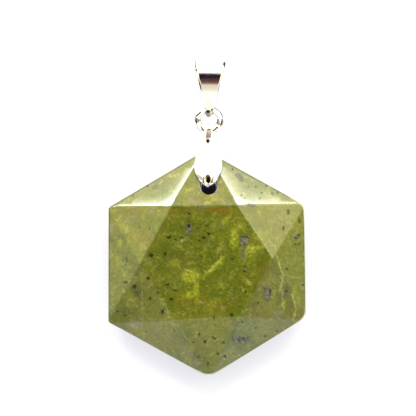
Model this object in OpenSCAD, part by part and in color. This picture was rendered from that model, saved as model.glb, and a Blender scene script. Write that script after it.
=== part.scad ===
// Star pendant: a hexagonal stone whose two faces are each cut as a six-pointed star, held through
// a drilled hole by a pinch bail, with a jump ring and a tapered neck bail above it.
// It lies on its back as it would on a table. +Z is up out of the front face, +Y runs from the stone
// to the neck bail, and the origin is the middle of the stone's flat back table.

/* [Stone] */
// Width of the stone between its two upright sides
across_flats = 29; // [26:0.5:32]
// Thickness of the stone between its two flat tables
stone_thickness = 8; // [7.6:0.1:8.8]
// Height of each crown, from the girdle up to the table
crown_height = 2.8; // [2.4:0.1:3]
// Diameter of the hole drilled through the stone
hole_d = 2.4; // [2.3:0.1:2.8]

/* [Pinch bail] */
// Width of each leaf at its belly
leaf_width = 4.2; // [3.8:0.1:4.6]
// Length of each leaf from its point to its neck
leaf_length = 8.65; // [8:0.05:9]
// Thickness of the pressed sheet
leaf_sheet = 0.4; // [0.35:0.05:0.5]

/* [Jump ring] */
// Outer diameter of the jump ring
ring_d = 4.3; // [4.1:0.1:4.8]
// Diameter of its wire
wire_d = 1; // [0.8:0.05:1]
// How far the ring slopes down towards the neck bail, in degrees
ring_tilt = 22; // [18:1:26]

/* [Neck bail] */
// Length of the neck bail from the middle of its loop to its round top
bail_length = 8; // [7.5:0.1:9]
// Width across its round top
bail_width = 4.54; // [4:0.02:5]
// Depth from the front of its bulge to the back
bail_depth = 4.7; // [4.3:0.1:4.8]

/* [Pose] */
// How far the metal leans off the stone's upright axis, in degrees
lean = 2; // [0:0.5:4]

/* [Hidden] */
$fn = 96;

stone_colour = [0.45, 0.46, 0.18];
metal_colour = "silver";
running_gap = 0.14;          // between the parts that hang in each other

// The stone is cut by hand, so no corner is quite in its regular place.
// Each row is a corner, anticlockwise from the one at 30 degrees, or at 0 degrees for the table.
// Columns: turn from the regular place in degrees, reach past the regular distance, rounding radius.
outline_corners = [
    [ 0.1,  0.00, 1.6],
    [-0.1, -0.10, 1.0],
    [-0.5, -0.06, 0.5],
    [-0.1,  0.17, 0.5],
    [ 0.1,  0.10, 3.1],
    [ 0.4, -0.09, 2.2],
];
// Columns: turn from the regular place in degrees, reach past the regular distance.
table_corners = [
    [ 3.7,  0.04],
    [ 1.8,  0.01],
    [ 1.0,  0.30],
    [-0.3,  0.21],
    [-1.2, -0.03],
    [ 2.7, -0.32],
];
corner_reach = across_flats / 2 / cos(30);
table_reach = corner_reach / sqrt(3);
saw_allowance = 0.2;         // the blank is this much oversize until its outline is ground
hole_at = [0.45, 0.68 * corner_reach];

// The metal has a frame of its own on the stone's middle plane: the leaf's axis is its Y axis.
hang_at = [0.3, 0.67 * corner_reach, stone_thickness / 2];
leaf_tip_y = -0.1;
leaf_gap = 0.07;             // of the leaf's edges over the facet that they sit on
leaf_cup_r = 5.2;            // radius of the leaf's cupped section
leaf_lift = leaf_gap + leaf_cup_r - sqrt(pow(leaf_cup_r, 2) - pow(leaf_width / 2, 2));
leaf_belly = 3.4;            // from the point to the widest place
leaf_neck = 1.09;            // half width of the neck
leaf_shoulder_r = 0.3;
dent_at = 1.25;              // from the leaf's point to the middle of its pressed dent
dent_size = [0.74, 1.24];
peg_d = 0.7;
peg_length = 1.3;
star_slope = atan(crown_height / (corner_reach / 2));
tip_facet = stone_thickness / 2 - (hang_at.y + leaf_tip_y - corner_reach / 2) * tan(star_slope);
tip_height = tip_facet + leaf_lift;
neck_height = wire_d / 2 + 0.35;
leaf_slope = asin((tip_height - neck_height) / leaf_length);
neck_y = leaf_tip_y + leaf_length * cos(leaf_slope);

strap_width = 0.9;
strap_sheet = 0.4;
strap_reach = 1.3;           // of the strap's end past the leaf's neck
strap_bend_r = 0.85;
strap_start = 1.38;          // where the strap leaves the leaf, before its neck
strap_half = neck_height + leaf_sheet / cos(leaf_slope) + (strap_start - 0.2) * tan(leaf_slope);
strap_end = neck_y + strap_reach;

ring_r = (ring_d - wire_d) / 2;
lower_wire_y = strap_end - strap_sheet - running_gap - wire_d / 2;
ring_centre = [0, lower_wire_y + ring_r * cos(ring_tilt), -ring_r * sin(ring_tilt)];
loop_play = 0.05;            // of the neck bail's loop on the wire, towards the ring's middle
loop_centre = [0, lower_wire_y + 2 * ring_r * cos(ring_tilt) - loop_play, -2 * ring_r * sin(ring_tilt)];

// The neck bail is one strip bent round: a half circle over the top, a large arc for each cheek
// and a small circle round the jump ring's wire, each running smoothly into the next.
bail_sheet = 0.45;
bail_edge = [0.4, 0.2];      // width and depth of the bevel along both sides of the face
loop_half = 0.45;            // half width of the strip in the loop
loop_r = wire_d / 2 + 0.12 + bail_sheet;
top_r = bail_depth / 2;
top_centre = bail_length - top_r;
cheek_r = (pow(top_centre, 2) + pow(top_r, 2) - pow(loop_r, 2)) / (2 * (top_r - loop_r));
loop_turn = 90 + asin(top_centre / (cheek_r - loop_r));
bail_tip = 0.7;              // half width at the cheeks' lower ends
bail_tip_at = 0.05;          // where they end, from the loop's middle
bail_tip_r = 0.42;
bail_full_width_at = 6.4;    // the taper ends here, from the loop's middle
table_clearance = 0.03;      // of the neck bail's bulge over the surface it lies on
bail_drop = asin((loop_centre.z + stone_thickness / 2 - table_clearance - top_r) / top_centre);

function polar(angle, distance) = [distance * cos(angle), distance * sin(angle)];
function unit(v) = v / norm(v);
function next(k, count) = (k + 1) % count;
function raised(points, z) = [for (p = points) [p.x, p.y, z]];

// Corner k of the outline, moved outwards by extra
function outline_corner(k, extra = 0) =
    polar(30 + 60 * k + outline_corners[k][0], corner_reach + outline_corners[k][1] + extra);
function front_table() =
    [for (k = [0:5]) polar(60 * k + table_corners[k][0], table_reach + table_corners[k][1])];
function back_table() = [for (k = [0:5]) polar(60 * k, table_reach)];

// The sawn blank with its facets ground: a table, six star points and six side facets to a face
module faceted_blank() {
    girdle = [for (k = [0:5]) outline_corner(k, saw_allowance / cos(30))];
    points = concat(
        raised(front_table(), stone_thickness),
        raised(girdle, stone_thickness - crown_height),
        raised(girdle, crown_height),
        raised(back_table(), 0));
    polyhedron(points, concat(
        [[5, 4, 3, 2, 1, 0]],
        [for (k = [0:5]) [k, next(k, 6), 6 + k]],
        [for (k = [0:5]) [next(k, 6), 6 + next(k, 6), 6 + k]],
        [for (k = [0:5]) [6 + k, 6 + next(k, 6), 12 + next(k, 6), 12 + k]],
        [for (k = [0:5]) [18 + next(k, 6), 18 + k, 12 + k]],
        [for (k = [0:5]) [18 + next(k, 6), 12 + k, 12 + next(k, 6)]],
        [[18, 19, 20, 21, 22, 23]]));
}

// The finished outline: straight sides with each corner rounded to its own radius
module ground_outline() {
    corners = [for (k = [0:5]) outline_corner(k)];
    to_last = [for (k = [0:5]) unit(corners[(k + 5) % 6] - corners[k])];
    to_next = [for (k = [0:5]) unit(corners[next(k, 6)] - corners[k])];
    half = [for (k = [0:5]) acos(to_last[k] * to_next[k]) / 2];
    radius = [for (row = outline_corners) row[2]];
    polygon([for (k = [0:5], side = [to_last[k], to_next[k]])
        corners[k] + side * radius[k] / tan(half[k])]);
    for (k = [0:5])
        translate(corners[k] + unit(to_last[k] + to_next[k]) * radius[k] / sin(half[k]))
            circle(radius[k]);
}

module stone() {
    color(stone_colour)
        difference() {
            intersection() {
                faceted_blank();
                translate([0, 0, -1])
                    linear_extrude(stone_thickness + 2)
                        ground_outline();
            }
            translate([hole_at.x, hole_at.y, -1])
                cylinder(h = stone_thickness + 2, d = hole_d);
        }
}

module in_metal_frame() {
    translate(hang_at)
        rotate([0, 0, -lean])
            children();
}

// Half width of the leaf where its sides are arcs, and along its whole length: past the belly
// the sides run straight to the neck, and the corners there are rounded.
function belly_half(along) =
    let (half = leaf_width / 2,
         side_r = (pow(leaf_belly, 2) + pow(half, 2)) / (2 * half))
    half - side_r + sqrt(pow(side_r, 2) - pow(along - leaf_belly, 2));
function leaf_half(along) =
    let (join = leaf_belly + 0.95,
         taper = (along - join) / (leaf_length - join),
         past = max(0, along - leaf_length + leaf_shoulder_r))
    (along <= join ? belly_half(along) : belly_half(join) * (1 - taper) + leaf_neck * taper)
    - leaf_shoulder_r + sqrt(max(0, pow(leaf_shoulder_r, 2) - pow(past, 2)));

module leaf_outline() {
    shoulder = leaf_length - leaf_shoulder_r;
    steps = concat(
        [for (i = [1:24]) shoulder * i / 24],
        [for (turn = [22.5:22.5:90]) shoulder + leaf_shoulder_r * sin(turn)]);
    last = len(steps) - 1;
    polygon(concat(
        [[0, 0]],
        [for (y = steps) [leaf_half(y), y]],
        [for (i = [last:-1:0]) [-leaf_half(steps[i]), steps[i]]]));
}

// A long hole or boss with round ends, lying along Y
module long_round(size, height) {
    run = (size.y - size.x) / 2;
    for (end = [-run, run])
        translate([0, end, 0])
            cylinder(h = height, d = size.x);
    translate([-size.x / 2, -run, 0])
        cube([size.x, 2 * run, height]);
}

// One cupped leaf with its dent and the peg that the dent throws up behind it.
// Its point is at the origin, and the surface that faces the stone passes through it.
module leaf() {
    boss_wall = 0.16;
    boss_depth = 0.28;
    dent_floor = -0.06;
    difference() {
        union() {
            intersection() {
                linear_extrude(4, center = true)
                    leaf_outline();
                translate([0, -1, -leaf_cup_r])
                    rotate([-90, 0, 0])
                        difference() {
                            cylinder(h = leaf_length + 2, r = leaf_cup_r + leaf_sheet);
                            translate([0, 0, -1])
                                cylinder(h = leaf_length + 4, r = leaf_cup_r);
                        }
            }
            translate([0, dent_at, -boss_depth])
                long_round(dent_size + 2 * [boss_wall, boss_wall], boss_depth + leaf_sheet / 2);
            translate([0, dent_at, -peg_length])
                cylinder(h = peg_length, d1 = peg_d * 0.6, d2 = peg_d);
        }
        translate([0, dent_at, dent_floor])
            long_round(dent_size, leaf_sheet * 2);
    }
}

module rounded_bar(reach, half, r) {
    square([reach - r, 2 * half], center = false);
    translate([0, r])
        square([reach, 2 * (half - r)]);
    for (y = [r, 2 * half - r])
        translate([reach - r, y])
            circle(r);
}

// The narrow strap that joins the two leaves and carries the jump ring, seen from the side
module strap_profile() {
    start = neck_y - strap_start;
    reach = strap_end - start;
    translate([start, -strap_half])
        difference() {
            rounded_bar(reach, strap_half, strap_bend_r);
            translate([-0.1, strap_sheet])
                rounded_bar(reach - strap_sheet + 0.1, strap_half - strap_sheet,
                            strap_bend_r - strap_sheet);
        }
}

module pinch_bail() {
    pit_d = 0.4;
    pit_depth = 0.25;
    color(metal_colour)
        in_metal_frame()
            difference() {
                union() {
                    for (face = [0, 1])
                        mirror([0, 0, face])
                            translate([0, leaf_tip_y, tip_height])
                                rotate([-leaf_slope, 0, 0])
                                    leaf();
                    rotate([90, 0, 90])
                        linear_extrude(strap_width, center = true)
                            strap_profile();
                }
                for (face = [0, 1])
                    mirror([0, 0, face])
                        translate([0, neck_y - strap_start - pit_d / 2, strap_half - pit_depth])
                            cylinder(h = 1, d = pit_d);
            }
}

module jump_ring() {
    color(metal_colour)
        in_metal_frame()
            translate(ring_centre)
                rotate([-ring_tilt, 0, 0])
                    rotate_extrude()
                        translate([ring_r, 0])
                            circle(d = wire_d);
}

// Half width of the neck bail at a distance along it from the loop's middle
function bail_half(along) =
    let (cheek = bail_tip + (bail_width / 2 - bail_tip) * (along - bail_tip_at)
                 / (bail_full_width_at - bail_tip_at),
         inside = min(1, (along - bail_tip_at) / bail_tip_r),
         tip = bail_tip_r * (1 - sqrt(max(0, 1 - pow(1 - inside, 2)))))
    along <= bail_tip_at ? loop_half : max(loop_half, min(bail_width / 2, cheek) - tip);

// A point on its side view where the surface faces the direction facing, sunk by depth
function bail_point(facing, depth) =
    let (side = abs(facing) > loop_turn ? 0 : abs(facing) > 90 ? sign(facing) : 2,
         radius = side == 0 ? loop_r : side == 2 ? top_r : cheek_r,
         middle = side == 0 ? [0, 0] : side == 2 ? [top_centre, 0]
                : [top_centre, side * (top_r - cheek_r)])
    middle + (radius - depth) * [cos(facing), sin(facing)];

// The cross-section there: a flat face between two bevels, and a flat inside
function bail_section(facing) =
    let (half = bail_half(bail_point(facing, 0)[0]),
         bevel = min(bail_edge[0], half / 2),
         rows = [[half, bail_sheet], [half, bail_edge[1]], [half - bevel, 0],
                 [bevel - half, 0], [-half, bail_edge[1]], [-half, bail_sheet]])
    [for (row = rows) let (p = bail_point(facing, row[1])) [row[0], p[0], p[1]]];

// A closed skin over a ring of sections that all have the same number of points
module endless_loft(sections) {
    rows = len(sections);
    sides = len(sections[0]);
    polyhedron(
        [for (section = sections, p = section) p],
        [for (i = [0:rows - 1], j = [0:sides - 1], half = [0, 1])
            let (a = i * sides + j, b = i * sides + next(j, sides),
                 c = next(i, rows) * sides + j, d = next(i, rows) * sides + next(j, sides))
            half == 0 ? [a, c, b] : [b, c, d]]);
}

module neck_bail() {
    // The steps are short near the lower ends of the cheeks and longer up the cheek.
    rise = loop_turn - 90;
    over_top = [for (i = [0:28]) 90 - 180 * i / 28];
    cheek = [for (i = [1:13]) 90 + rise * (1 - pow(1 - i / 14, 2))];
    down = [for (facing = cheek) -facing];
    round_loop = [for (i = [0:24]) -loop_turn - (360 - 2 * loop_turn) * i / 24];
    up = [for (i = [12:-1:0]) cheek[i]];
    color(metal_colour)
        in_metal_frame()
            translate(loop_centre)
                rotate([-bail_drop, 0, 0])
                    endless_loft([for (facing = concat(over_top, down, round_loop, up))
                        bail_section(facing < -180 ? facing + 360 : facing)]);
}

stone();
pinch_bail();
jump_ring();
neck_bail();
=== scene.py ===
import math

import bpy
import numpy as np
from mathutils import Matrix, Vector, kdtree
from mathutils.geometry import delaunay_2d_cdt


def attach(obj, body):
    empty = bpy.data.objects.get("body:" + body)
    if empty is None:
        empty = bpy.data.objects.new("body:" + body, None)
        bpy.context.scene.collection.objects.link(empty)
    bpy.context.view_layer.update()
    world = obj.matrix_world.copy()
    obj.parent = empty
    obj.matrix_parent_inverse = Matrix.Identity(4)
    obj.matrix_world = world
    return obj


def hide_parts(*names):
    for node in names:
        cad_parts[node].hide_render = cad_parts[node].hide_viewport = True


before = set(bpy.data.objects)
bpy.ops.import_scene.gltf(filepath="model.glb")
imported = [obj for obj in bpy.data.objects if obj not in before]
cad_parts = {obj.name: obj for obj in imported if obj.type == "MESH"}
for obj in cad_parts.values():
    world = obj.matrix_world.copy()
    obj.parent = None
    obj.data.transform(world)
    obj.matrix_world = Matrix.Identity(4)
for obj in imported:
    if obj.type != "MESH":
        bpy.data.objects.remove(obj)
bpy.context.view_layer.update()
mm = 0.001                                # every size below is in millimetres until it goes into a mesh
print("frame loaded:", sorted(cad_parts))


def cosine(angle):
    return math.cos(math.radians(angle))


def sine(angle):
    return math.sin(math.radians(angle))


def polar(angle, distance):
    return np.array([distance * cosine(angle), distance * sine(angle)])


def makeObject(name, points, faces, material):
    mesh = bpy.data.meshes.new(name)
    mesh.from_pydata([tuple(float(c) * mm for c in p) for p in points], [], faces)
    mesh.validate()
    mesh.shade_smooth()
    mesh.materials.append(material)
    made = bpy.data.objects.new(name, mesh)
    bpy.context.scene.collection.objects.link(made)
    return made


def dressNode(piece, node):         # the piece stands in for one solid of the frame
    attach(piece, "root")
    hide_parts(node)


def newMaterial(name):
    material = bpy.data.materials.new(name)
    material.use_nodes = True
    tree = material.node_tree
    return material, tree, tree.nodes["Principled BSDF"]


# Node helpers: a value is a plain number or colour, or a socket to link from
def addNode(tree, kind, values=None, **settings):
    made = tree.nodes.new(kind)
    for name, value in settings.items():
        setattr(made, name, value)
    for name, value in (values or {}).items():
        if isinstance(value, bpy.types.NodeSocket):
            tree.links.new(value, made.inputs[name])
        else:
            made.inputs[name].default_value = value
    return made


def calc(tree, operation, a, b=0.0):
    return addNode(tree, "ShaderNodeMath", {0: a, 1: b}, operation=operation).outputs[0]


def vectorMath(tree, operation, *inputs):
    made = addNode(tree, "ShaderNodeVectorMath", dict(enumerate(inputs)), operation=operation)
    return made.outputs["Value" if operation in ("LENGTH", "DOT_PRODUCT") else "Vector"]


def scaled(tree, vector, by):
    return addNode(tree, "ShaderNodeVectorMath", {0: vector, "Scale": by}, operation="SCALE").outputs[0]


def shift(tree, vector, by):
    return vectorMath(tree, "ADD", vector, by)


def blendColours(tree, amount, a, b, mode="MIX"):
    made = addNode(tree, "ShaderNodeMix", {0: amount, 6: a, 7: b}, data_type="RGBA", blend_type=mode)
    return made.outputs[2]


def remap(tree, value, low, high, start=0.0, end=1.0, smooth=True):
    shape = "SMOOTHSTEP" if smooth else "LINEAR"
    values = {0: value, 1: low, 2: high, 3: start, 4: end}
    made = addNode(tree, "ShaderNodeMapRange", values, interpolation_type=shape, clamp=not smooth)
    return made.outputs[0]


def noise(tree, vector, scale, detail=3.0, roughness=0.55, distortion=0.0, out="Fac"):
    values = {"Vector": vector, "Scale": scale, "Detail": detail, "Roughness": roughness}
    values["Distortion"] = distortion
    return addNode(tree, "ShaderNodeTexNoise", values).outputs[out]


def hollows(tree, distance):              # 1 in the open, less where something stands close
    return addNode(tree, "ShaderNodeAmbientOcclusion", {"Distance": distance}, samples=8).outputs["AO"]


def bump(tree, height, distance, strength):
    values = {"Height": height, "Distance": distance, "Strength": strength}
    return addNode(tree, "ShaderNodeBump", values).outputs[0]


def millimetres(tree):                    # the piece's own coordinates, one unit to a millimetre
    return scaled(tree, addNode(tree, "ShaderNodeTexCoord").outputs["Object"], 1 / mm)


def ripple(tree, vector, steps):          # pushes the coordinates about, so that borders come out ragged
    for amount, scale in steps:
        centred = shift(tree, noise(tree, vector, scale, out="Color"), (-0.5, -0.5, -0.5))
        vector = vectorMath(tree, "ADD", vector, scaled(tree, centred, amount))
    return vector


# Stone finish: polished olive serpentine. Colours are linear.
stoneFinish = {
    "olive": (0.074, 0.080, 0.0078, 1),
    "deep": (0.050, 0.062, 0.0046, 1),
    "umber": (0.074, 0.064, 0.0070, 1),
    "yellow": (0.128, 0.132, 0.0170, 1),
    "milky": (0.096, 0.102, 0.0400, 1),
    "moss": (0.030, 0.043, 0.0060, 1),
    "vein": (0.190, 0.195, 0.0500, 1),
    "fleck": (0.240, 0.245, 0.0900, 1),
    "black": (0.008, 0.008, 0.0010, 1),
    "drilled": (0.004, 0.002, 0.008, 1),  # painted shade on the hole's wall, near black like the dark inside the bore
    "gap": (0.016, 0.014, 0.004, 1),      # painted shade in the narrow gap under the metal, where its shadow falls
    # how the coordinates are pushed about, step by step: how far, how finely
    "ragged": [(1.1, 0.9)],
    "torn": [(0.45, 2.2), (0.22, 6.0)],
    "crumbled": [(0.30, 2.6), (0.42, 4.5)],
    "grain": (0.44, 1.57),                # shade of the darkest and of the lightest grain
    "threadStrength": 0.35,
    "fleckStrength": 0.75,
    "speckStrength": 0.85,
    "speckSize": 0.9,
    "speckBorder": 0.9,
    "strewnStrength": 0.5,                # of the specks that aren't drawn one by one, beside those
    "contactShadeReach": 0.0008,                   # in metres
    "contactShadeStrength": 0.95,
    "gloss": 0.06,                        # roughness where it is polished best
    "dull": 0.10,
    "boreRoughness": 0.5,
    "boreBorder": (0.10, 0.02),           # outside the hole's wall: gone at, full from
    "shine": (0.5, 0.02),                 # specular level of the polish and of the bare wall
    "matt": 0.55,                         # how much shine the specks and the grey pieces lose
    "waves": (0.000020, 0.12),            # height in metres and strength of the unevenness
    "ior": 1.56,
    # where a noise starts to count, and where it counts in full
    "oliveSpan": (0.42, 0.62),
    "brokenSpan": (0.40, 0.56),
    "mottledSpan": (0.42, 0.60),
    "paleSpan": (0.48, 0.62),
    "grainSpan": (0.25, 0.75),
    "contactShadeSpan": (0.20, 0.62),
    "polishSpan": (0.35, 0.70),
}

# Noises that the stone's patterns start from. Columns: shift, scale, detail, roughness.
stoneNoises = {
    "olive": ((0, 0, 0), 0.20, 3.0, 0.60),      # where olive takes over from deep green
    "broken": ((8, 8, 60), 2.4, 4.0, 0.75),     # where the spots are broken up
    "pale": ((90, 4, 1), 0.35, 2.0, 0.55),      # where pale threads run, and not dark ones
    "grain": ((5, 51, 9), 2.3, 5.0, 0.85),
    "polish": ((3, 3, 90), 0.8, 3.0, 0.60),
    "skin": ((0, 0, 0), 1.6, 2.0, 0.50),
}

# Broad mottling over deep and olive, laid on in turn.
# Columns: colour, coordinates, shift, scale, detail, roughness, from, to, strength.
stoneMottling = [
    ("umber", "ragged", (2, 77, 13), 0.30, 4.0, 0.65, 0.50, 0.68, 0.55),
    ("yellow", "torn", (31, 7, 3), 0.80, 5.0, 0.72, 0.53, 0.67, 0.72),
    ("milky", "torn", (61, 17, 23), 0.55, 5.0, 0.70, 0.55, 0.68, 0.55),
    ("moss", "torn", (17, 3, 41), 1.00, 5.0, 0.72, 0.54, 0.68, 0.55),
]

# Thin threads that run through the stone. Columns: colour, scale, width, shift.
stoneThreads = {
    "pale": ("vein", 0.42, 0.020, (12, 40, 5)),
    "dark": ("deep", 0.75, 0.016, (70, 3, 15)),
}
threadNoise = (4.0, 0.6, 0.6)             # detail, roughness, distortion

# Specks strewn over the stone. Columns: shift, scale, full to, gone at, share of the cells.
strewnSpecks = {
    "pale": ((1, 6, 2), 1.25, 0.05, 0.16, 0.22),
    "black": ((9, 4, 2), 0.85, 0.05, 0.19, 0.45),
}
smallestSpeck = 0.4                       # as a share of the largest

# Painted highlight on the thin ground edge, along the lower and the right sides: a pale colour stands in
# for the light that the polished edge catches
paintedRimHighlight = {
    "colour": (0.56, 0.55, 0.42, 1),
    "above": (0.24, 0.14),                # over the girdle's upper edge: gone at, full from
    "below": (-0.20, 0.02),
    "lower": (-3.0, -9.0, 0.75),          # y: starts at, full from, strength
    "lowerLeft": (-14.5, -11.0),          # x: gone at, full from
    "right": (11.0, 14.0, 0.55),          # x: starts at, full from, strength
}

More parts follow.
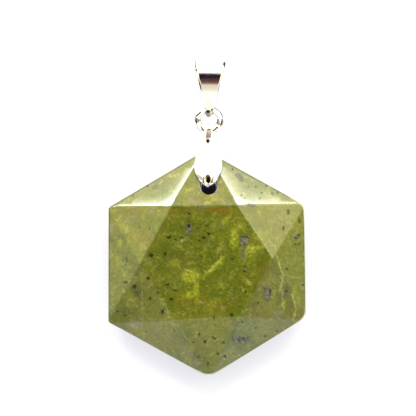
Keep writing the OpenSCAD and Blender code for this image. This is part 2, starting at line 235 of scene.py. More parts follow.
# What stands out on the stone's front. Columns: x, y, half length, half width, turn, strength.
# Border is how soft the edge is, and left is the share that stays where a spot is broken up.
stoneSpots = {
    "shade": {                            # darker green, and the shade round the grey pieces
        "colour": (0.03, 0.036, 0.008, 1),
        "border": 0.9,
        "left": 0.1,
        "rows": [
            (-10.39, -3.75, 1.25, 0.78, 100, 1.0), (-2.57, 5.25, 1.26, 0.81, 90, 0.75),
            (-1.24, 5.01, 0.44, 0.37, 0, 0.8), (5.53, 3.2, 0.96, 0.89, 0, 0.5),
            (8.8, -4.53, 1.33, 0.89, 88, 0.55), (4.85, -11.26, 1.77, 0.89, 5, 0.6),
            (-6.25, -3.55, 1.18, 0.66, 10, 0.35), (-11.77, -7.01, 1.48, 0.66, -10, 0.4),
            (-6.75, -7.09, 0.66, 0.37, 60, 0.5), (6.49, 8.21, 1.03, 0.44, -12, 0.5),
            (8.13, -0.18, 0.44, 0.44, 0, 0.45), (-8.24, 1.35, 0.66, 0.59, 0, 0.5),
            (13.84, 5.88, 0.59, 0.22, 80, 0.6), (-0.22, 4.03, 0.96, 0.74, 0, 0.35),
            (5.61, -0.79, 0.66, 0.37, 80, 0.5), (-6.94, -0.59, 1.62, 0.89, 20, 0.25),
            (11.61, -4.43, 0.66, 0.59, 0, 0.5), (3.41, 9.92, 0.27, 0.21, 0, 0.7),
            (2.76, 10.49, 0.38, 0.18, 60, 0.4), (-1.39, 9.44, 0.44, 0.22, 30, 0.4),
            (-0.45, 8.69, 0.44, 0.18, 0, 0.4), (-2.42, 9.98, 0.27, 0.18, 0, 0.5),
            (-7.87, 10.95, 0.66, 0.24, 30, 0.7), (-6.31, 11.81, 0.44, 0.18, 20, 0.5),
            (-4.7, 1.0, 2.51, 2.07, 0, 0.35), (-1.48, 8.56, 2.07, 0.89, 0, 0.35),
            (-8.48, 4.9, 1.48, 1.18, 60, 0.25), (-4.01, -1.67, 1.33, 1.03, 0, 0.25),
            (-2.64, 0.53, 1.77, 1.33, 0, 0.25), (0.64, -6.91, 1.03, 0.74, 0, 0.35),
            (-0.91, 7.29, 1.48, 0.59, 0, 0.25), (-1.01, 10.25, 1.03, 0.74, 0, 0.25),
        ],
    },
    "lime": {                             # yellow-green patches
        "colour": (0.185, 0.200, 0.014, 1),
        "border": 1.1,
        "left": 0.2,
        "rows": [
            (4.06, 3.67, 1.48, 0.66, 95, 0.75), (6.54, 2.01, 0.74, 0.66, 20, 0.9),
            (7.73, 2.43, 0.81, 0.44, 20, 0.6), (1.11, -0.42, 1.83, 0.38, 46, 0.8),
            (-2.38, -1.84, 1.26, 0.89, 0, 0.8), (-1.6, -3.48, 2.22, 0.44, 88, 0.6),
            (-2.43, -4.5, 0.89, 0.59, 20, 0.7), (1.66, 1.94, 0.74, 0.37, 40, 0.35),
            (5.88, -2.71, 1.03, 0.3, -50, 0.4), (11.14, -6.34, 0.74, 0.3, 95, 0.7),
            (-12.79, 3.2, 0.66, 0.37, 60, 0.5), (-13.13, 0.4, 1.03, 0.3, 85, 0.35),
            (2.92, 6.5, 0.89, 0.3, 50, 0.4), (4.97, 5.43, 0.89, 0.44, 0, 0.35),
            (-4.57, 0.26, 0.74, 0.59, 0, 0.35), (0.65, -6.17, 1.18, 0.59, 60, 0.3),
            (13.08, -5.19, 1.48, 0.37, 105, 0.35), (-2.26, 10.89, 0.59, 0.15, 15, 0.6),
            (0.83, 9.99, 0.35, 0.21, 0, 0.5), (-1.01, 10.4, 0.38, 0.15, 45, 0.4),
            (2.37, 9.24, 0.44, 0.15, -30, 0.4), (0.3, 8.9, 0.7, 0.25, 20, 0.6),
            (-2.9, 8.6, 0.6, 0.25, -20, 0.5), (1.2, 9.4, 0.5, 0.25, 0, 0.6),
            (5.94, 1.43, 2.66, 1.33, 90, 0.24), (7.9, 3.91, 1.48, 0.89, 20, 0.24),
            (2.29, 3.99, 1.03, 0.74, 0, 0.2),
        ],
    },
    "rust": {                             # rusty stain, strongest along the table's upper edge
        "colour": (0.105, 0.052, 0.008, 1),
        "border": 1.2,
        "left": 0.4,
        "rows": [
            (-2.09, 7.76, 3.69, 0.60, 0, 0.2), (1.7, 7.85, 1.5, 0.34, 5, 0.75),
            (3.23, 7.82, 1.18, 0.3, 8, 0.6), (-5.04, 7.95, 0.3, 0.3, 0, 0.9),
            (9.15, 7.95, 1.26, 0.09, 89, 0.7), (9.02, 9.06, 0.74, 0.08, -7, 0.6),
            (2.13, -6.2, 1.92, 1.03, 0, 0.18), (7.43, -7.17, 1.92, 1.18, 0, 0.18),
            (-9.77, 7.58, 1.92, 0.44, 0, 0.3), (-2.59, -5.38, 1.92, 0.89, 0, 0.1),
            (6.2, 8.36, 0.74, 0.3, -10, 0.5), (0.53, 9.55, 0.53, 0.19, 0, 0.5),
            (1.48, 9.18, 0.30, 0.15, 0, 0.35),
        ],
    },
    "mauve": {                            # soft greyish patches
        "colour": (0.105, 0.095, 0.08, 1),
        "border": 0.9,
        "left": 0.5,
        "rows": [
            (5.23, 12.66, 0.66, 0.37, -40, 0.55), (-14.02, 5.28, 0.96, 0.3, 90, 0.6),
            (-10.97, 6.71, 0.89, 0.66, 0, 0.3), (-7.99, 8.14, 0.66, 0.59, 0, 0.35),
            (-10.77, -8.95, 1.18, 0.66, 0, 0.55), (-9.79, -7.93, 0.37, 0.3, 90, 0.6),
            (-7.38, -9.74, 0.52, 0.44, 0, 0.4), (10.38, -7.58, 0.74, 0.52, 0, 0.55),
            (3.85, -9.33, 1.03, 0.89, 0, 0.25), (-1.85, -14.7, 0.74, 0.52, 0, 0.4),
            (2.31, -13.59, 0.59, 0.44, 0, 0.4), (13.99, -3.58, 0.59, 0.44, 90, 0.6),
            (11.64, 7.1, 0.66, 0.37, 0, 0.35), (6.64, 8.21, 0.66, 0.22, -12, 0.5),
            (-9.56, 11.86, 0.66, 0.37, 30, 0.3), (-3.3, -13.06, 1.03, 0.59, 0, 0.25),
            (-1.9, 9.2, 0.95, 0.4, 0, 0.5), (1.6, 10.3, 0.75, 0.4, 40, 0.5),
            (-0.3, 8.5, 0.85, 0.3, 0, 0.4), (3.0, 8.7, 0.7, 0.3, 0, 0.5), (-1.5, 10.6, 0.45, 0.3, 0, 0.4),
        ],
    },
    "grey": {                             # grey pieces with clear borders
        "colour": (0.034, 0.032, 0.024, 1),
        "mottled": (0.105, 0.098, 0.078, 1),
        "border": 0.5,
        "left": 0.8,
        "rows": [
            (5.52, 3.13, 0.66, 0.7, 0, 0.9), (5.54, 3.83, 0.81, 0.19, 0, 0.9),
            (5.38, 1.29, 1.03, 0.22, 90, 0.8), (5.51, -0.78, 0.44, 0.25, 90, 0.5),
            (8.8, -4.53, 1.07, 0.63, 90, 0.9), (4.85, -11.26, 1.5, 0.6, 5, 1.0),
            (-2.57, 5.18, 0.81, 0.44, 90, 0.75), (11.61, -4.43, 0.37, 0.3, 0, 0.6),
            (13.35, 3.75, 0.42, 0.42, 0, 0.95), (11.32, 5.03, 0.37, 0.18, 80, 0.3),
            (5.02, 12.62, 0.77, 0.41, -45, 1.0), (6.67, 8.42, 0.68, 0.30, -12, 1.0),
            (-7.27, 11.38, 0.53, 0.30, 35, 1.0),
        ],
    },
    "pale": {                             # thin pale veins and flecks
        "colour": (0.2, 0.205, 0.062, 1),
        "border": 0.7,
        "left": 0.4,
        "rows": [
            (10.64, -0.27, 1.83, 0.13, -77, 0.7), (10.85, -3.38, 1.34, 0.16, 81, 0.65),
            (12.7, -5.7, 1.33, 0.16, -71, 0.75), (12.78, -7.84, 0.95, 0.15, 69, 0.65),
            (11.0, -4.2, 1.5, 0.17, 86, 0.4), (12.9, -2.23, 1.43, 0.09, -13, 0.45),
            (-4.66, 13.0, 0.96, 0.19, 22, 0.7), (-6.6, 12.04, 0.44, 0.12, 30, 0.6),
            (6.85, 12.2, 0.52, 0.15, -30, 0.5), (9.51, 2.85, 0.95, 0.13, -40, 0.6),
            (-9.6, -4.83, 3.4, 0.11, -90, 0.22), (-5.74, -8.58, 2.58, 0.11, -14, 0.22),
            (-5.93, -6.81, 1.06, 0.1, -79, 0.3), (-3.48, -10.47, 0.96, 0.11, -58, 0.3),
            (6.54, 1.93, 0.79, 0.12, 40, 0.6), (3.98, 3.52, 1.24, 0.1, -74, 0.4),
            (1.19, -0.27, 1.46, 0.1, 44, 0.6), (-2.37, -1.1, 1.04, 0.11, -9, 0.6),
            (-1.5, -1.86, 0.74, 0.09, 52, 0.6), (-4.21, -0.26, 0.52, 0.1, -46, 0.5),
            (-0.89, -5.71, 0.4, 0.14, -23, 0.7), (-3.63, 3.41, 0.22, 0.22, 0, 0.8),
            (-12.13, -1.32, 0.19, 0.37, 0, 0.6), (-12.31, -3.83, 0.27, 0.3, 0, 0.7),
            (-11.8, 5.03, 0.15, 0.37, 0, 0.5), (4.52, -13.7, 0.45, 0.12, 9, 0.5),
            (-6.88, 12.85, 1.45, 0.13, 23, 0.35), (-3.89, -13.19, 0.47, 0.1, 18, 0.5),
            (6.1, -2.79, 0.64, 0.09, -55, 0.5),
        ],
    },
}

# Small black specks on the front. Columns: x, y, half width, half height.
stoneSpecks = [
    (-5.5, 3.95, 0.37, 0.3), (-4.56, 3.61, 0.22, 0.18), (-3.62, 3.88, 0.32, 0.15),
    (-2.59, 5.62, 0.3, 0.34), (-0.43, 3.82, 0.34, 0.22), (0.3, 4.38, 0.3, 0.25),
    (-1.05, 3.37, 0.19, 0.18), (0.1, 5.58, 0.3, 0.12), (-8.18, 1.35, 0.4, 0.32),
    (-6.07, 1.53, 0.18, 0.32), (-11.8, 0.67, 0.15, 0.37), (-9.8, 5.6, 0.18, 0.18),
    (-8.33, 5.34, 0.18, 0.18), (-8.65, -2.02, 0.25, 0.28), (-11.94, -2.58, 0.32, 0.22),
    (-10.68, -3.19, 0.3, 0.37), (-5.33, -5.13, 0.34, 0.3), (-8.39, -4.98, 0.22, 0.25),
    (-7.31, -4.13, 0.19, 0.19), (-5.8, -2.97, 0.3, 0.15), (-4.78, -3.87, 0.32, 0.15),
    (-2.49, 7.38, 0.18, 0.18), (5.53, 3.81, 0.66, 0.12), (9.22, -4.31, 0.13, 0.59),
    (4.5, -11.25, 0.17, 0.42), (5.2, -11.1, 0.16, 0.42), (3.49, -7.59, 0.28, 0.28),
    (0.96, -7.95, 0.19, 0.16), (1.02, -11.05, 0.22, 0.22), (5.66, -4.14, 0.15, 0.37),
    (3.71, 0.63, 0.22, 0.13), (11.72, -0.97, 0.19, 0.19), (12.09, 7.39, 0.24, 0.44),
    (13.74, 6.03, 0.18, 0.4), (11.32, 5.03, 0.21, 0.41), (13.21, 3.53, 0.44, 0.16),
    (13.59, 3.96, 0.18, 0.27), (13.05, 2.6, 0.22, 0.19), (13.64, 2.66, 0.18, 0.18),
    (-0.54, -11.47, 0.28, 0.28), (-1.28, -10.32, 0.16, 0.22), (0.72, -10.87, 0.21, 0.22),
    (-2.18, -11.58, 0.3, 0.16), (2.23, -11.65, 0.28, 0.18), (-1.46, -13.73, 0.21, 0.21),
    (2.41, -13.68, 0.25, 0.25), (-0.09, -14.76, 0.16, 0.3), (1.43, -13.28, 0.21, 0.18),
    (3.71, -13.31, 0.16, 0.16), (7.07, -9.58, 0.18, 0.16), (5.06, -8.67, 0.22, 0.15),
    (8.44, -10.86, 0.18, 0.18), (5.54, -0.49, 0.25, 0.15), (5.49, -1.23, 0.19, 0.18),
    (11.61, -4.28, 0.25, 0.22), (-13.25, -6.84, 0.22, 0.15), (-12.22, -7.45, 0.32, 0.15),
    (-6.6, -6.95, 0.22, 0.37), (14.08, -3.43, 0.27, 0.18), (6.71, 13.08, 0.16, 0.15),
    (8.9, 11.28, 0.15, 0.15), (-8.53, 11.55, 0.15, 0.15), (-10.76, 10.11, 0.16, 0.15),
    (-6.56, 14.18, 0.15, 0.13), (5.27, 15.18, 0.15, 0.15), (-5.02, -9.78, 0.18, 0.15),
    (-9.16, -9.86, 0.15, 0.15), (10.19, -10.16, 0.15, 0.18), (7.45, -5.84, 0.18, 0.18),
    (5.22, 9.92, 0.2, 0.13), (5.76, 9.52, 0.18, 0.15), (8.25, 10.25, 0.2, 0.15), (7.93, 9.43, 0.18, 0.13),
    (6.24, 11.14, 0.22, 0.12), (7.41, 11.2, 0.15, 0.18), (9.8, 10.16, 0.18, 0.15),
    (10.58, 10.22, 0.2, 0.13), (4.01, 13.78, 0.15, 0.2),
]

spotShape = {
    "turnStep": 15,                       # spots that are turned alike share their coordinates
    "depth": 0.8,                         # of the half length
    "leastDepth": 0.7,
}


def turned(tree, vector, angle):          # the coordinates turned about the stone's axis
    c, s = cosine(angle), sine(angle)
    axes = ((c, s, 0), (-s, c, 0), (0, 0, 1))
    along, across, up = (vectorMath(tree, "DOT_PRODUCT", vector, axis) for axis in axes)
    return addNode(tree, "ShaderNodeCombineXYZ", {0: along, 1: across, 2: up}).outputs[0]


def allSpots(tree, vector, rows, border, levelAt, boxy=False, reach=0.0):
    total = None
    turns = {}
    for x, y, length, width, turn, strength in sorted(rows, key=lambda row: row[4]):
        angle = spotShape["turnStep"] * round(turn / spotShape["turnStep"])
        if angle not in turns:
            turns[angle] = turned(tree, vector, angle)
        c, s = cosine(angle), sine(angle)
        depth = max(spotShape["leastDepth"], spotShape["depth"] * length, reach)
        size = (1 / length, 1 / width, 1 / depth)
        middle = (-(c * x + s * y) / length, -(c * y - s * x) / width, -levelAt(x, y) / depth)
        inside = vectorMath(tree, "MULTIPLY_ADD", turns[angle], size, middle)
        if boxy:                          # squared once more, for a patch with corners
            inside = vectorMath(tree, "MULTIPLY", inside, inside)
        away = vectorMath(tree, "LENGTH", inside)
        mask = remap(tree, away, 1.0 - border * 0.5, 1.0 + border * 0.5, strength, 0.0)
        total = mask if total is None else calc(tree, "MAXIMUM", total, mask)
    return total


def strewn(tree, vector, kind):           # ragged specks, one in each of a share of the cells
    by, scale, full, gone, share = strewnSpecks[kind]
    values = {"Vector": shift(tree, vector, by), "Scale": scale, "Randomness": 1.0}
    cells = addNode(tree, "ShaderNodeTexVoronoi", values)
    pick = addNode(tree, "ShaderNodeSeparateColor", {0: cells.outputs["Color"]})
    size = remap(tree, pick.outputs[1], 0.0, 1.0, smallestSpeck, 1.0, smooth=False)
    near = calc(tree, "DIVIDE", cells.outputs["Distance"], size)
    chosen = calc(tree, "LESS_THAN", pick.outputs[0], share)
    return calc(tree, "MULTIPLY", remap(tree, near, full, gone, 1.0, 0.0), chosen)


def threadMask(tree, vector, scale, width, by):  # thin lines where a noise crosses its middle
    wave = noise(tree, shift(tree, vector, by), scale, *threadNoise)
    off = calc(tree, "ABSOLUTE", calc(tree, "SUBTRACT", wave, 0.5))
    return remap(tree, off, 0.0, width, 1.0, 0.0)


def stoneNoise(tree, vector, kind):
    by, scale, detail, roughness = stoneNoises[kind]
    return noise(tree, shift(tree, vector, by), scale, detail, roughness)


def paintMottling(tree, places):
    look = stoneFinish
    olive = remap(tree, stoneNoise(tree, places["ragged"], "olive"), *look["oliveSpan"])
    colour = blendColours(tree, olive, look["deep"], look["olive"])
    for kind, where, by, scale, detail, roughness, low, high, strength in stoneMottling:
        patch = noise(tree, shift(tree, places[where], by), scale, detail, roughness)
        colour = blendColours(tree, remap(tree, patch, low, high, 0.0, strength), colour, look[kind])
    return colour


def paintSpots(tree, places, colour):     # the painted colour, and where the grey pieces are
    look = stoneFinish
    grey = None
    surface = groundSurface()
    broken = stoneNoise(tree, places["even"], "broken")
    for name, spots in stoneSpots.items():
        there = allSpots(tree, places["torn"], spots["rows"], spots["border"], surface, name == "grey")
        share = calc(tree, "MULTIPLY", there, remap(tree, broken, *look["brokenSpan"], spots["left"], 1.0))
        paint = spots["colour"]
        if name == "grey":
            paint = blendColours(tree, remap(tree, broken, *look["mottledSpan"]), paint, spots["mottled"])
            grey = share
        colour = blendColours(tree, share, colour, paint)
    return colour, grey


def paintThreads(tree, places, colour):   # pale threads in some places, dark ones in the others
    look = stoneFinish
    pale = remap(tree, stoneNoise(tree, places["ragged"], "pale"), *look["paleSpan"])
    shares = {"pale": pale, "dark": calc(tree, "SUBTRACT", 1.0, pale)}
    for name, (kind, scale, width, by) in stoneThreads.items():
        thread = calc(tree, "MULTIPLY", threadMask(tree, places["torn"], scale, width, by), shares[name])
        thread = calc(tree, "MULTIPLY", thread, look["threadStrength"])
        colour = blendColours(tree, thread, colour, look[kind])
    return colour


def paintGrain(tree, places, colour):
    look = stoneFinish
    grain = stoneNoise(tree, places["even"], "grain")
    shade = remap(tree, grain, *look["grainSpan"], *look["grain"], smooth=False)
    shadeColour = addNode(tree, "ShaderNodeCombineColor", {0: shade, 1: shade, 2: shade}).outputs[0]
    return blendColours(tree, 1.0, colour, shadeColour, "MULTIPLY")


def paintSpecks(tree, places, colour):    # the painted colour, and where the black specks are
    look = stoneFinish
    fleck = calc(tree, "MULTIPLY", strewn(tree, places["torn"], "pale"), look["fleckStrength"])
    colour = blendColours(tree, fleck, colour, look["fleck"])
    rows = [(x, y, look["speckSize"] * w, look["speckSize"] * h, 0, 1.0) for x, y, w, h in stoneSpecks]
    drawn = allSpots(tree, places["crumbled"], rows, look["speckBorder"], groundSurface())
    others = calc(tree, "MULTIPLY", strewn(tree, places["crumbled"], "black"), look["strewnStrength"])
    speck = calc(tree, "MAXIMUM", others, drawn)
    colour = blendColours(tree, calc(tree, "MULTIPLY", speck, look["speckStrength"]), colour, look["black"])
    return colour, speck


def rimHighlightMask(tree, place):
    rim = paintedRimHighlight
    parts = addNode(tree, "ShaderNodeSeparateXYZ", {0: place})
    x, y, z = (parts.outputs[name] for name in ("X", "Y", "Z"))
    girdle = stoneCut["thickness"] - stoneCut["crown"]
    above = remap(tree, z, *(girdle + height for height in rim["above"]))
    below = remap(tree, z, *(girdle + height for height in rim["below"]))
    start, full, strength = rim["lower"]
    lower = remap(tree, y, start, full, 0.0, strength)
    lower = calc(tree, "MULTIPLY", lower, remap(tree, x, *rim["lowerLeft"]))
    start, full, strength = rim["right"]
    right = remap(tree, x, start, full, 0.0, strength)
    return calc(tree, "MULTIPLY", calc(tree, "MULTIPLY", above, below), calc(tree, "MAXIMUM", lower, right))


def boreMask(tree, place):                # the wall of the hole
    hole = stoneCut["holeAt"]
    toAxis = (-hole[0], -hole[1] * cornerReach(), 0)
    away = vectorMath(tree, "LENGTH", vectorMath(tree, "MULTIPLY_ADD", place, (1, 1, 0), toAxis))
    return remap(tree, away, *(stoneCut["holeD"] / 2 + border for border in stoneFinish["boreBorder"]))


def serpentine():
    material, tree, shader = newMaterial("polished_serpentine")
    look = stoneFinish
    place = millimetres(tree)
    places = {name: ripple(tree, place, look[name]) for name in ("ragged", "torn", "crumbled")}
    places["even"] = place
    colour = paintMottling(tree, places)
    colour, grey = paintSpots(tree, places, colour)
    colour = paintThreads(tree, places, colour)
    colour = paintGrain(tree, places, colour)
    colour, speck = paintSpecks(tree, places, colour)
    # Painted shadow: the colour goes near black where the metal stands close over the stone
    contactShade = remap(tree, hollows(tree, look["contactShadeReach"]), *look["contactShadeSpan"], look["contactShadeStrength"], 0.0)
    colour = blendColours(tree, contactShade, colour, look["gap"])
    # Painted highlight: a pale colour on the rim of the lower and the right edges
    colour = blendColours(tree, rimHighlightMask(tree, place), colour, paintedRimHighlight["colour"])
    # Painted shade: the hole's wall is coloured near black for the dark inside the bore, and loses its
    # shine
    bore = boreMask(tree, place)
    colour = blendColours(tree, bore, colour, look["drilled"])
    tree.links.new(colour, shader.inputs["Base Color"])

    polish = stoneNoise(tree, place, "polish")
    rough = remap(tree, polish, *look["polishSpan"], look["gloss"], look["dull"])
    rough = calc(tree, "ADD", rough, calc(tree, "MULTIPLY", bore, look["boreRoughness"]))
    tree.links.new(rough, shader.inputs["Roughness"])
    matt = calc(tree, "MULTIPLY", calc(tree, "MAXIMUM", speck, grey), look["matt"])
    shine = remap(tree, calc(tree, "MAXIMUM", bore, matt), 0.0, 1.0, *look["shine"], smooth=False)
    tree.links.new(shine, shader.inputs["Specular IOR Level"])
    shader.inputs["IOR"].default_value = look["ior"]
    waves = bump(tree, stoneNoise(tree, place, "skin"), *look["waves"])
    tree.links.new(waves, shader.inputs["Normal"])
    return material


# The stone: six-pointed star cut on both faces, worked out the way it is ground
stoneCut = {
    "acrossFlats": 29.0,
    "thickness": 8.0,
    "crown": 2.8,
    "sawAllowance": 0.2,                  # the facets are set out that far past the flats
    # corner by corner from the one at 30 degrees: turn, reach, rounding
    "corners": [
        (0.1, 0, 1.6), (-0.1, -0.1, 1.0), (-0.5, -0.06, 0.5),
        (-0.1, 0.17, 0.5), (0.1, 0.1, 3.1), (0.4, -0.09, 2.2),
    ],
    # table corner by corner from the one at 0 degrees: turn, reach
    "table": [(3.7, 0.04), (1.8, 0.01), (1.0, 0.30), (-0.3, 0.21), (-1.2, -0.03), (2.7, -0.32)],
    "holeAt": (0.45, 0.68),               # y is a share of the corner's reach
    "holeD": 2.4,
    "edgeWidth": 0.09,                    # half width of the softened facet edges
    "edgeFall": 0.335,                    # how steeply the star's facets fall away
    "rimRound": 0.18,                     # radius where the facets meet the girdle
    "holeRound": 0.14,
    # each facet bulges a little: by how much, and how wide the fall to its edges is
    "dome": {"table": (0.020, 2.2), "star": (0.045, 1.6), "side": (0.10, 1.15)},
    "domeBlend": 3,                       # the higher, the sharper the falls from two edges meet
}

# How closely the points of the stone's mesh stand, in millimetres unless it says otherwise
stoneNet = {
    "alongStep": 0.45,                    # along the straight edges
    "arcStep": 0.22,                      # round the corners
    "arcLeast": 4,                        # steps to a corner, however small it is
    "holeSides": 48,
    "wallRows": 6,
    "leans": (15, 30, 45, 62, 80),        # rows round the rounded edges, in degrees
    "rimRow": 0.05,                       # one more row inside the rounded rim
    "holeRow": 0.06,                      # and one outside the hole's
    "edgeRows": (0.0, 0.045, 0.09, 0.14, 0.26),   # rows beside each facet edge
    "closest": 0.004,
    "rowRoom": 0.02,
    "edgeRoom": 0.03,
    "edgeMargin": 0.01,
    "fillStep": 0.85,                     # grid over the open facets
    "fillRows": 25,                       # to each side of the middle
    "fillRise": 0.866,                    # from row to row, as a share of the step
    "fillMargin": 0.3,
    "fillRoom": 0.42,                     # as a share of the step
    "cell": 0.2,                          # size of the boxes that neighbours are looked up in
}


def cornerReach():
    return stoneCut["acrossFlats"] / 2 / cosine(30)


def outlineCorner(k, extra=0.0):
    turn, reach, _ = stoneCut["corners"][k % 6]
    return polar(30 + 60 * k + turn, cornerReach() + reach + extra)


def tableCorner(k, regular):
    turn, reach = (0.0, 0.0) if regular else stoneCut["table"][k % 6]
    return polar(60 * k + turn, cornerReach() / math.sqrt(3) + reach)


def facetList(regular):                   # each facet: its kind, its corners, its plane over the middle
    top = stoneCut["thickness"] / 2
    girdle = top - stoneCut["crown"]
    extra = stoneCut["sawAllowance"] / cosine(30)
    table = [tableCorner(k, regular) for k in range(6)]
    corner = [outlineCorner(k, extra) for k in range(6)]
    facets = [("table", table, np.array([0.0, 0.0, top]))]
    for k in range(6):
        after = (k + 1) % 6
        for kind, ring, heights in (
            ("star", [table[k], table[after], corner[k]], [top, top, girdle]),
            ("side", [table[after], corner[k], corner[after]], [top, girdle, girdle]),
        ):
            rows = np.array([[p[0], p[1], 1.0] for p in ring])
            facets.append((kind, ring, np.linalg.solve(rows, np.array(heights))))
    return facets


def groundSurface():                      # height of the ground front over a place
    planes = np.array([plane for _, _, plane in facetList(False)])
    return lambda x, y: stoneCut["thickness"] / 2 + float((planes @ np.array([x, y, 1.0])).min())


def edgesOf(ring):
    return list(zip(ring, ring[1:] + ring[:1]))


def roundedOutline():                     # points along the ground outline, each with its outward normal
    corners = [outlineCorner(k) for k in range(6)]
    points = []
    normals = []
    for k in range(6):
        here, last, after = corners[k], corners[k - 1], corners[(k + 1) % 6]
        toLast = (last - here) / np.linalg.norm(last - here)
        toNext = (after - here) / np.linalg.norm(after - here)
        half = math.acos(float(toLast @ toNext)) / 2
        radius = stoneCut["corners"][k][2]
        middle = toLast + toNext
        centre = here + middle / np.linalg.norm(middle) * radius / math.sin(half)
        facing = math.atan2(-middle[1], -middle[0])
        sweep = math.pi / 2 - half
        steps = max(stoneNet["arcLeast"], round(2 * sweep * radius / stoneNet["arcStep"]))
        for i in range(steps + 1):
            turn = facing - sweep + 2 * sweep * i / steps
            normal = np.array([math.cos(turn), math.sin(turn)])
            points.append(centre + radius * normal)
            normals.append(normal)
        # the straight stretch to the next corner
        nextMiddle = corners[(k + 2) % 6] - after
        nextMiddle = nextMiddle / np.linalg.norm(nextMiddle)
        nextHalf = math.acos(float(-toNext @ nextMiddle)) / 2
        start = points[-1]
        end = after - toNext * stoneCut["corners"][(k + 1) % 6][2] / math.tan(nextHalf)
        count = round(np.linalg.norm(end - start) / stoneNet["alongStep"])
        for i in range(1, count):
            points.append(start + (end - start) * i / count)
            normals.append(normals[-1])
    return np.array(points), np.array(normals)


def awayFromLoop(points, loop):           # distance of each point to a closed line
    ends = np.roll(loop, -1, axis=0)
    run = ends - loop
    length = (run ** 2).sum(1)
    share = ((points[:, None, :] - loop[None]) * run[None]).sum(2) / length[None]
    foot = loop[None] + np.clip(share, 0, 1)[:, :, None] * run[None]
    return np.sqrt(((points[:, None, :] - foot) ** 2).sum(2)).min(1)


def outsideHole(points, hole):            # distance of each point to the hole's wall
    return np.linalg.norm(points - hole, axis=1) - stoneCut["holeD"] / 2


def quarterDrop(away, radius):            # how far a rounded edge has fallen, that far in from the wall
    inside = np.clip(radius - away, 0, radius)
    return radius - np.sqrt(radius ** 2 - inside ** 2)


def domeOver(points, kind, ring):         # how far a facet bulges over its plane
    rise, width = stoneCut["dome"][kind]
    blend = stoneCut["domeBlend"]
    middle = np.mean(ring, axis=0)
    edges = edgesOf(ring)
    if kind == "side":
        edges = [edges[0], edges[2]]      # the outermost edge stays as it is ground
    near = np.zeros(len(points))
    for a, b in edges:
        normal = np.array([-(b - a)[1], (b - a)[0]]) / np.linalg.norm(b - a)
        normal = normal if (middle - a) @ normal > 0 else -normal
        near += np.exp(-blend * np.clip((points - a) @ normal, 0, None) / width)
    return rise * (1 - np.minimum(1, near ** (1 / blend)))


def heightAt(points, facets, outline, hole):
    flat = np.array([plane for _, _, plane in facets])
    heights = points @ flat[:, :2].T + flat[:, 2]
    lowest = heights.argmin(1)
    softness = stoneCut["edgeWidth"] * stoneCut["edgeFall"] * 2
    ranked = np.sort(heights, axis=1)
    height = ranked[:, 0]
    for j in (1, 2, 3):                   # the facets next to the lowest one soften its edges
        overlap = np.clip(softness - (ranked[:, j] - height), 0, None) / softness
        height = height - overlap ** 2 * softness / 4
    for index, (kind, ring, _) in enumerate(facets):
        mine = np.nonzero(lowest == index)[0]
        if len(mine):
            height[mine] += domeOver(points[mine], kind, ring)
    height = height - stoneCut["dome"]["table"][0]
    height = height - quarterDrop(awayFromLoop(points, outline), stoneCut["rimRound"])
    fromHole = np.clip(outsideHole(points, hole), 0, None)
    return height - quarterDrop(fromHole, stoneCut["holeRound"])


def ridgeLines(facets):                   # each facet edge once, as its two ends
    def apart(a, b, c, d):
        return np.abs(a - c).max() + np.abs(b - d).max()

    lines = []
    for _, ring, _ in facets:
        for a, b in edgesOf(ring):
            if all(min(apart(a, b, c, d), apart(a, b, d, c)) >= 1e-6 for c, d in lines):
                lines.append((a, b))
    return lines


def pointsBesideRidges(facets):
    beside = []
    for offset in stoneNet["edgeRows"]:
        for a, b in ridgeLines(facets):
            length = np.linalg.norm(b - a)
            along = (b - a) / length
            across = np.array([-along[1], along[0]])
            count = round(length / stoneNet["alongStep"])
            for side in ((1,) if offset == 0 else (1, -1)):
                aside = across * offset * side
                beside += [a + along * length * i / count + aside for i in range(count + 1)]
    return np.array(beside)


def pointsOfGrid():
    step, rise = stoneNet["fillStep"], stoneNet["fillRise"]
    places = range(-stoneNet["fillRows"], stoneNet["fillRows"] + 1)
    return np.array([(i * step + (j % 2) * step / 2, j * step * rise) for j in places for i in places])


def onFace(points, outline, hole, margin):  # which points lie on the face, that far from its edges
    kept = (awayFromLoop(points, outline) > margin) & (outsideHole(points, hole) > margin)
    for k in range(6):
        a, b = outlineCorner(k), outlineCorner(k + 1)
        kept &= (b - a)[0] * (points[:, 1] - a[1]) - (b - a)[1] * (points[:, 0] - a[0]) > 0
        cut = stoneCut["corners"][k][2] * (1 / cosine(30) - 1)
        kept &= points @ polar(30 + 60 * k, 1.0) < np.linalg.norm(outlineCorner(k)) - cut
    return kept


